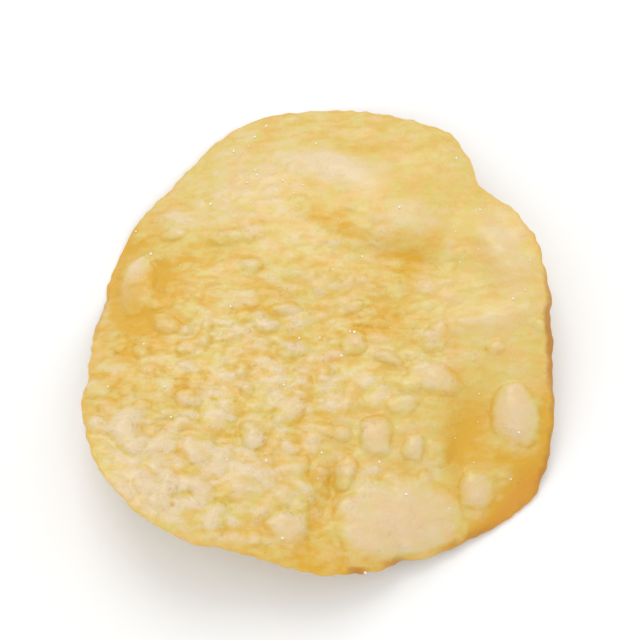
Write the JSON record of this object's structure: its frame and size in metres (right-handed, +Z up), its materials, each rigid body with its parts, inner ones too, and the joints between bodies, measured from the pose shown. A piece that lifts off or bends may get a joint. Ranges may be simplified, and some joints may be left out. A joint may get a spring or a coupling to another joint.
{
  "type": "potato crisp",
  "caption": "Thin fried potato slice, twisted into a gentle saddle with curled margins, blisters and a browned rim, lying shown side up.",
  "frame": {"origin": "on the floor, under the middle of the crisp's box", "axes": "+Z up from the floor through the thin slice, +Y along the crisp towards the margin that is at the top of the picture, +X to the right as the picture shows it"},
  "size_m": [0.0626, 0.0706, 0.0131],
  "materials": {
    "crisp": "fried potato: pale butter yellow, golden in the hollows, with a thin oily gloss and a browned rim"
  },
  "bodies": {
    "root": {"crisp": "crisp"}
  },
  "joints": []
}
